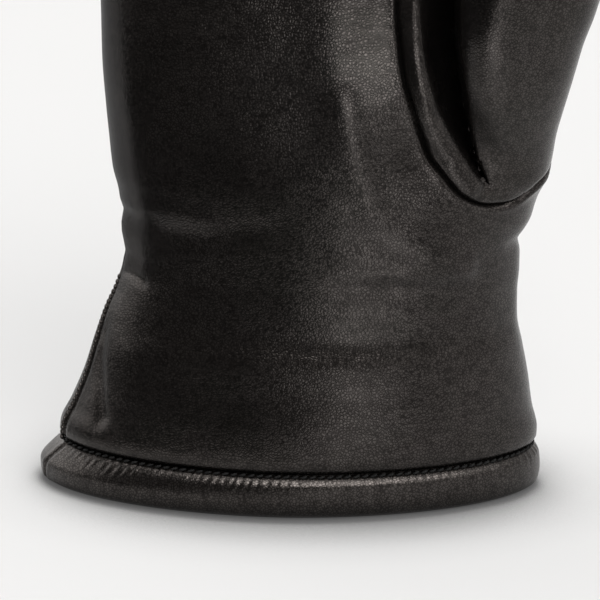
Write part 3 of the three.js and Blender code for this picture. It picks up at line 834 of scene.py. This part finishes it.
def hem_mesh():
    profile = smooth_path(HEM_PROFILE + HEM_PROFILE[:1], 3)[:-1]
    turn, arc = even_turns(HEM_AROUND)
    turn, arc = turn[:, None], arc[:, None]
    inset, height = profile[None, :, 0], profile[None, :, 1]
    x, y, nx, ny = hem_outline(turn, height)
    outer = smoothstep(2.2 - inset, 0, 1.2)
    coarse, fine = (2 * np.pi * arc / pitch for pitch in PUCKER_PITCHES)
    wave = np.sin(coarse + 1.3 * np.sin(arc * 0.31)) * (0.6 + 0.4 * np.sin(arc * 0.173 + 1))
    wave = wave + 0.5 * np.sin(fine + 2.1 * np.sin(arc * 0.47)) * np.sin(arc * 0.29)
    gather = 0.4 + 0.6 * np.exp(-(((x - GATHER_X) / GATHER_REACH) ** 2))
    reach = 1.2 + 0.4 * np.sin(arc * 0.83 + 2 * np.sin(arc * 0.21))
    pucker = wave * gather * np.exp(-(((height - PUCKER_HEIGHT) / reach) ** 2)) * PUCKER_DEPTH
    seam = np.degrees(turn) - HEM_SEAM_TURN - (HEM_HEIGHT - height) * HEM_SEAM_SLANT
    groove, lip = np.exp(-((seam / 0.9) ** 2)), np.exp(-(((np.abs(seam) - 2.6) / 1.3) ** 2))
    pucker = pucker - 0.6 * groove + 0.15 * lip
    push = -inset + pucker * outer
    points = np.stack([x + nx * push, y + ny * push, height + 0 * x], -1)
    return grid_mesh(points)


def grid_mesh(points):
    """Quads of a grid that closes both ways."""
    n, m = points.shape[:2]
    i, j = np.meshgrid(np.arange(n), np.arange(m), indexing="ij")
    a, b = i * m + j, ((i + 1) % n) * m + j
    c, d = ((i + 1) % n) * m + (j + 1) % m, i * m + (j + 1) % m
    return points.reshape(-1, 3), np.stack([a, d, c, b], -1).reshape(-1, 4)


# Stitches
STITCH_PITCH = 2.05
STITCH_LENGTH = 1.75
STITCH_RADIUS = 0.3


def rope(centre, along, out, length, radius, bow):
    """Short bowed rolls, each with its middle, its direction and its outward direction."""
    along = along / np.linalg.norm(along, axis=1)[:, None]
    up = np.cross(along, out)
    ts = np.linspace(-1, 1, 9)
    sides = np.linspace(0, 2 * np.pi, 8, endpoint=False)
    thick = radius * np.sqrt(np.clip(1 - np.abs(ts) ** 3, 0, 1)) + 0.02
    ts, thick, sides = ts[None, :, None, None], thick[None, :, None, None], sides[None, None, :, None]
    middle, along, out, up = (v[:, None, None] for v in (centre, along, out, up))
    lifted = out * (bow * (1 - ts**2) + thick * np.cos(sides))
    p = middle + along * (ts * length / 2) + lifted + up * thick * np.sin(sides)
    n, m, k = p.shape[:3]
    i, j = np.meshgrid(np.arange(m - 1), np.arange(k), indexing="ij")
    a, b = i * k + j, i * k + (j + 1) % k
    quad = np.stack([a, b, b + k, a + k], -1).reshape(-1, 4)
    quads = (quad[None] + (np.arange(n) * m * k)[:, None, None]).reshape(-1, 4)
    return p.reshape(-1, 3), quads


def stitch_mesh():
    _, half_way = even_turns(2)
    count = int(round(half_way[1] * 2 / STITCH_PITCH))
    turn, _ = even_turns(count)
    x, y, nx, ny = hem_outline(turn, np.full(count, HEM_HEIGHT))
    centre = np.stack([x - nx * 0.75, y - ny * 0.75, np.full(count, BODY_BASE - 0.15)], -1)
    along = np.stack([-ny, nx, np.full(count, 0.32)], -1)
    out = np.stack([nx, ny, np.zeros(count)], -1)
    return rope(centre, along, out, STITCH_LENGTH, STITCH_RADIUS, 0.18)


# The puckered strip beside the side seam, from the hem up to the wrist
WELT_TOP = 50.0
WELT_PITCH = 1.15
WELT_TURN = 3.0  # degrees behind the seam
WELT_RADIUS = 0.42


def welt_mesh():
    z = np.arange(BODY_BASE + 0.4, WELT_TOP, WELT_PITCH)
    turn = np.radians(SIDE_TURN(z) + WELT_TURN)
    x, y = superellipse(turn, BODY_LEFT(z), BODY_RIGHT(z), BODY_FRONT(z), BODY_BACK(z), BODY_POWER(z))
    centre = pull_to_surface(np.stack([x, y, z], -1), 0.0, 6)
    out = field_normal(centre)
    out /= np.linalg.norm(out, axis=1)[:, None]
    up = np.gradient(centre, axis=0)
    along = up / np.linalg.norm(up, axis=1)[:, None] + 0.8 * np.cross(out, up)
    return rope(centre - out * 0.15, along, out, WELT_PITCH * 1.25, WELT_RADIUS, 0.1)


# Blender objects
def frame_shift():
    """From the glove's own frame to the row's: the hem's box has its middle at the frame's hem middle."""
    low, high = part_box("hem")
    middle = (low + high) / 2
    turn = np.radians(np.arange(0, 360, 0.5))
    xs = [hem_outline(turn, h * HEM_HEIGHT)[:2] for h in (0, 0.16, 0.48, 0.8, 1)]
    x = np.concatenate([p[0] for p in xs])
    y = np.concatenate([p[1] for p in xs])
    return np.array([middle.x - (x.min() + x.max()) / 2 * MM, middle.y - (y.min() + y.max()) / 2 * MM, 0.0])


SHIFT = frame_shift()


def add_piece(name, points, faces, material, nodes):
    used, order = np.unique(faces, return_inverse=True)
    faces = order.reshape(faces.shape)
    points = points[used] * MM + SHIFT
    mesh = bpy.data.meshes.new(name)
    mesh.from_pydata(points, [], faces.tolist())
    mesh.polygons.foreach_set("use_smooth", np.ones(len(faces), bool))
    mesh.materials.append(material)
    mesh.update()
    piece = bpy.data.objects.new(name, mesh)
    bpy.context.scene.collection.objects.link(piece)
    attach(piece, "root")
    if nodes:
        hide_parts(*nodes)
    return piece


def without_scraps(faces, least=60):
    """The faces without loose scraps of fewer than so many of them."""
    label, merged = None, np.arange(faces.max() + 1)
    while label is None or (merged != label).any():
        label = merged
        lowest = label[faces].min(1)
        merged = label.copy()
        for corner in faces.T:
            np.minimum.at(merged, corner, lowest)
        merged = merged[merged]
    _, number, count = np.unique(label[faces[:, 0]], return_inverse=True, return_counts=True)
    return faces[count[number] >= least]


# The pieces
def build_glove():
    main = leather("leather", (0.0050, 0.0043, 0.0040), 0.25, 0.5, 0.026, (0.4, 1.0, 1.0), -0.5)
    thumb_skin = leather("thumb_leather", (0.0050, 0.0043, 0.0040), 0.25, 0.5, 0.022, (1.0, 1.0, 0.5), -0.2)
    side_skin = leather("side_leather", (0.0050, 0.0043, 0.0040), 0.3, 0.45, 0.022, (1.0, 1.0, 0.6), 0.0)
    hem_skin = leather("hem_leather", (0.0050, 0.0043, 0.0040), 0.29, 0.62, 0.022, (1.0, 1.0, 0.3), 0.0)
    points, triangles, webs = outer_surface()
    inner, inner_triangles = glove_surface(LOW, HIGH, INNER_STEP, -WALL, 1)
    normals = field_normal(points)
    sides = [thumb_side] + [lambda p, l=left, r=right: fourchette_side(p, l, r) for left, right in webs]

    def owners(at, faces):
        """0 for the trank, else the number of the piece that a face lies on."""
        middle = at[faces].mean(1)
        owner = np.zeros(len(faces), int)
        for number, side in enumerate(sides, 1):
            owner[side(middle) < 0] = number
        return np.where(middle[:, 2] < BODY_BASE - 0.02, -1, owner)

    outer_owner, inner_owner = owners(points, triangles), owners(inner, inner_triangles)
    pushed = push_seams(points, normals, webs)
    everything = np.vstack([pushed, inner])
    inner_triangles = inner_triangles[:, ::-1] + len(pushed)
    names = ["trank", "thumb"] + [f"fourchette_{right['name']}_{left['name']}" for left, right in webs]
    skins = [(main, "leather"), (thumb_skin, "thumb_leather")] + [(side_skin, "side_leather")] * 3
    for number, (name, (skin, slot)) in enumerate(zip(names, skins)):
        faces = np.vstack([triangles[outer_owner == number], inner_triangles[inner_owner == number]])
        add_piece(f"{name}_skin", everything, without_scraps(faces), skin, [name])
    hem_points, hem_quads = hem_mesh()
    fold = add_piece("hem_fold", hem_points, hem_quads, hem_skin, ["hem"])
    welt_points, welt_quads = welt_mesh()
    add_piece("side_welt", welt_points, welt_quads, hem_skin, [])
    stitch_points, stitch_quads = stitch_mesh()
    add_piece("hem_stitches", stitch_points, stitch_quads, thread_material(), [])


# Camera, a metre away, with the photograph's height and slight roll in degrees
CAMERA_RISE = 18.6
CAMERA_ROLL = 0.845
TARGET_X = 1.72
TARGET_Z = 43.69
SENSOR = 36.0
PIXELS_PER_MM = 4.386
PICTURE = 600


def add_camera():
    rise, roll = math.radians(CAMERA_RISE), math.radians(CAMERA_ROLL)
    target = Vector((TARGET_X * MM + SHIFT[0], SHIFT[1], TARGET_Z * MM))
    forward = Vector((0, math.cos(rise), -math.sin(rise)))
    level = Vector((1, 0, 0))
    upright = level.cross(forward)
    right = level * math.cos(roll) + upright * math.sin(roll)
    up = upright * math.cos(roll) - level * math.sin(roll)
    data = bpy.data.cameras.new("camera")
    camera = bpy.data.objects.new("camera", data)
    bpy.context.scene.collection.objects.link(camera)
    axes = Matrix((right, up, -forward)).transposed()
    camera.matrix_world = Matrix.Translation(target - forward) @ axes.to_4x4()
    data.sensor_width = SENSOR
    data.lens = SENSOR * PIXELS_PER_MM * 1000 / PICTURE
    data.clip_start, data.clip_end = 0.05, 20.0
    bpy.context.scene.camera = camera


# Node helpers
class Nodes:
    """Makes linked nodes in one tree; an input is another node's output or a plain value."""

    def __init__(self, tree):
        self.tree = tree

    def add(self, kind, inputs=(), **settings):
        made = self.tree.nodes.new(kind)
        for key, value in settings.items():
            setattr(made, key, value)
        for key, value in dict(inputs).items():
            if hasattr(value, "is_output"):
                self.tree.links.new(value, made.inputs[key])
            else:
                made.inputs[key].default_value = value
        return made

    def math(self, operation, *values):
        return self.add("ShaderNodeMath", enumerate(values), operation=operation).outputs[0]

    def ramp(self, value, start, end, low=0.0, high=1.0):
        inputs = {0: value, 1: start, 2: end, 3: low, 4: high}
        return self.add("ShaderNodeMapRange", inputs, interpolation_type="SMOOTHSTEP").outputs[0]

    def band(self, value, low, high, edge):
        """1 between low and high and 0 outside, with soft edges."""
        rising = self.ramp(value, low - edge, low + edge)
        falling = self.ramp(value, high + edge, high - edge)
        return self.math("MULTIPLY", rising, falling)

    def place(self, kind):
        return self.add("ShaderNodeTexCoord").outputs[kind]

    def moved(self, place, by, reach):
        """The place, moved by a noise's colour times reach."""
        inputs = {0: reach, 6: place, 7: by.outputs["Color"]}
        return self.add("ShaderNodeMix", inputs, data_type="RGBA", blend_type="ADD").outputs[2]

    def borders(self, place, scale):
        """Distance from the borders of a net of cells."""
        inputs = {"Vector": place, "Scale": scale}
        return self.add("ShaderNodeTexVoronoi", inputs, feature="DISTANCE_TO_EDGE").outputs["Distance"]

    def times(self, vector, factor):
        return self.add("ShaderNodeVectorMath", {0: vector, 1: factor}, operation="MULTIPLY").outputs[0]


# Materials; scales are features in a metre
PEBBLE_SCALE = 1500.0
WRINKLE_SCALE = 480.0
CREASE_SCALE = 260.0
PATCH_SCALE = 60.0
# The warm colour of the studio's lamps, painted into the leather's reflection.
PAINTED_WARM_LIGHT = (1.0, 0.905, 0.85)


def leather(name, colour, roughness, shine, grain, stretch, turn):
    """Black leather: pebbles of 0.7 mm, fine wrinkles drawn out along one direction and longer creases."""
    material = bpy.data.materials.new(name)
    material.use_nodes = True
    shader = material.node_tree.nodes["Principled BSDF"]
    shader.inputs["Specular IOR Level"].default_value = shine
    make = Nodes(material.node_tree)
    place = make.place("Object")
    warp = make.add("ShaderNodeTexNoise", {"Vector": place, "Scale": 900.0, "Detail": 2.0})
    pebble = make.ramp(make.borders(make.moved(place, warp, 0.0005), PEBBLE_SCALE), 0.0, 0.34)
    inputs = {"Vector": place, "Scale": PATCH_SCALE, "Detail": 3.0}
    patches = make.add("ShaderNodeTexNoise", inputs).outputs["Fac"]
    worn = make.ramp(patches, 0.35, 0.65, 0.7, 1.0)
    inputs = {"Vector": place, "Rotation": (0.0, turn, 0.0), "Scale": stretch}
    drawn = make.add("ShaderNodeMapping", inputs).outputs[0]
    inputs = {"Vector": drawn, "Scale": WRINKLE_SCALE, "Detail": 4.0, "Roughness": 0.6}
    wrinkle = make.add("ShaderNodeTexNoise", inputs).outputs["Fac"]
    sway = make.add("ShaderNodeTexNoise", {"Vector": place, "Scale": 160.0, "Detail": 2.0})
    net = make.borders(make.moved(drawn, sway, 0.004), CREASE_SCALE)
    crease = make.math("MULTIPLY", make.ramp(net, 0.09, 0.0), make.ramp(patches, 0.45, 0.62))
    fine = make.math("MULTIPLY", pebble, worn)
    height = make.math("MULTIPLY_ADD", wrinkle, 0.8, fine)
    height = make.math("MULTIPLY_ADD", crease, -0.45, height)
    bump = make.add("ShaderNodeBump", {"Strength": 1.0, "Distance": grain * MM, "Height": height})
    material.node_tree.links.new(bump.outputs[0], shader.inputs["Normal"])
    # Painted shade: the base colour is darker in the borders between the pebbles, the grain's hollows. The
    # patches vary its tone at random.
    pebble_hollow_shade = make.ramp(pebble, 0.0, 1.0, 0.55, 1.0)
    in_patches = make.ramp(patches, 0.3, 0.7, 0.85, 1.15)
    tone_and_hollow_shade = make.times(colour, make.math("MULTIPLY", pebble_hollow_shade, in_patches))
    material.node_tree.links.new(tone_and_hollow_shade, shader.inputs["Base Color"])
    # Painted shade and highlight in the reflection: the Specular Tint is dimmer in the pebbles' borders and
    # the wrinkles' troughs and brighter on their crests. It also carries the painted warm tint of the lamps.
    pebble_reflection_shade = make.ramp(pebble, 0.0, 0.6, 0.48, 1.22)
    wrinkle_reflection_shade = make.ramp(wrinkle, 0.38, 0.62, 0.84, 1.14)
    painted_reflection_tint = make.times(PAINTED_WARM_LIGHT, make.math("MULTIPLY", pebble_reflection_shade, wrinkle_reflection_shade))
    material.node_tree.links.new(painted_reflection_tint, shader.inputs["Specular Tint"])
    rough = make.ramp(patches, 0.3, 0.7, roughness - 0.01, roughness + 0.03)
    material.node_tree.links.new(rough, shader.inputs["Roughness"])
    return material


def thread_material():
    material = bpy.data.materials.new("thread")
    material.use_nodes = True
    shader = material.node_tree.nodes["Principled BSDF"]
    shader.inputs["Base Color"].default_value = (0.004, 0.004, 0.004, 1)
    shader.inputs["Specular IOR Level"].default_value = 0.3
    shader.inputs["Roughness"].default_value = 0.8
    return material


# Floor and light
FLOOR_LIGHT = 0.375
FLOOR_ALBEDO = 0.36
CONTACT_REACH = 0.03


def stage_mesh(name, points, faces):
    """A mesh of the studio with its own material, and that material's shader."""
    mesh = bpy.data.meshes.new(name)
    mesh.from_pydata(points, [], faces)
    material = bpy.data.materials.new(name)
    material.use_nodes = True
    mesh.materials.append(material)
    made = bpy.data.objects.new(name, mesh)
    bpy.context.scene.collection.objects.link(made)
    shader = material.node_tree.nodes["Principled BSDF"]
    shader.inputs["Specular IOR Level"].default_value = 0.0
    shader.inputs["Emission Color"].default_value = (1, 1, 1, 1)
    return made, shader


def add_floor():
    """A pale floor, lit from below as a table of glass is, with a short soft shade where something stands."""
    made, shader = stage_mesh("floor", [(-3, -3, 0), (3, -3, 0), (3, 3, 0), (-3, 3, 0)], [(0, 1, 2, 3)])
    shader.inputs["Roughness"].default_value = 0.9
    tree = made.data.materials[0].node_tree
    make = Nodes(tree)
    open_sky = make.add("ShaderNodeAmbientOcclusion", {"Distance": CONTACT_REACH}, samples=8).outputs["AO"]
    shade = make.ramp(open_sky, 0.42, 0.98, 0.22, 1.0)
    pale = make.math("MULTIPLY", shade, FLOOR_ALBEDO)
    colour = make.add("ShaderNodeCombineColor", {0: pale, 1: pale, 2: pale})
    tree.links.new(colour.outputs[0], shader.inputs["Base Color"])
    tree.links.new(make.math("MULTIPLY", shade, FLOOR_LIGHT), shader.inputs["Emission Strength"])


# Cards on the floor that only the leather mirrors: name, azimuth from and to in degrees from the camera to
# the right, distance from and to in metres, brightness
CARDS = (
    ("flag", -100, 1, 0.108, 2.0, 0.06),
    ("flag_behind", 185, 255, 0.13, 2.0, 0.35),
    ("flag_right", 24, 42, 0.21, 2.0, 0.36),
    ("reflector_near", 2.5, 30, 0.09, 0.155, 2.6),
    ("reflector_low", 2.5, 24, 0.155, 0.2, 0.6),
    ("reflector_middle", 2.5, 24, 0.2, 0.34, 1.1),
    ("reflector_high", 2.5, 24, 0.34, 0.45, 3.4),
    ("reflector_far", 2.5, 24, 0.45, 1.5, 7.0),
)


def add_cards():
    """Black and bright cards as studios lay out for black goods. They shade nothing."""
    for name, left, right, near, far, glow in CARDS:
        turn = np.radians(np.linspace(left, right, 41))
        ring = [(np.sin(t) * r, -np.cos(t) * r, 0.0006) for t in turn for r in (near, far)]
        faces = [(2 * i, 2 * i + 1, 2 * i + 3, 2 * i + 2) for i in range(40)]
        card, shader = stage_mesh(name, ring, faces)
        shader.inputs["Base Color"].default_value = (0, 0, 0, 1)
        shader.inputs["Emission Strength"].default_value = glow
        card.visible_camera = False
        card.visible_diffuse = False
        card.visible_shadow = False


# Soft lights of the studio: azimuth from the camera to the right, elevation, both from and to, the
# softness of the edge, all in degrees, and the strength
LIGHTS = (
    (2.5, 21, -6, 22, 2, 0.5),
    (21, 42, -6, 24, 3, 0.45),
    (42, 115, -6, 52, 3, 0.75),
    (-8, 42, 38, 62, 5, 9.0),
    (42, 75, 26, 58, 3, 2.0),
    (115, 190, -6, 40, 8, 0.7),
    (190, 255, -6, 6, 6, 0.45),
    (190, 286, 6, 45, 9, 1.8),
    (-400, 400, 64, 95, 3, 2.6),
)
DIM_STUDIO = 0.05


def add_world():
    """A dim studio with soft lights, worked out from the direction alone."""
    world = bpy.data.worlds.new("studio")
    bpy.context.scene.world = world
    world.use_nodes = True
    background = world.node_tree.nodes["Background"]
    background.inputs["Color"].default_value = (1, 0.985, 0.97, 1)
    make = Nodes(world.node_tree)
    x, y, z = make.add("ShaderNodeSeparateXYZ", {0: make.place("Generated")}).outputs
    azimuth = make.math("MULTIPLY", make.math("ARCTAN2", x, make.math("MULTIPLY", y, -1.0)), 180 / math.pi)
    elevation = make.math("MULTIPLY", make.math("ARCSINE", z), 180 / math.pi)
    behind = make.math("ADD", azimuth, make.math("MULTIPLY", make.math("LESS_THAN", azimuth, -60.0), 360.0))
    total = None
    for left, right, low, high, edge, strength in LIGHTS:
        turn = behind if 180 < right < 360 else azimuth
        up = make.band(elevation, low, high, edge)
        across = make.band(turn, left, right, edge)
        light = make.math("MULTIPLY", make.math("MULTIPLY", up, across), strength)
        total = make.math("ADD", light, DIM_STUDIO if total is None else total)
    world.node_tree.links.new(total, background.inputs["Strength"])


build_glove()
add_camera()
add_floor()
add_cards()
add_world()
bpy.context.scene.view_settings.view_transform = "Standard"
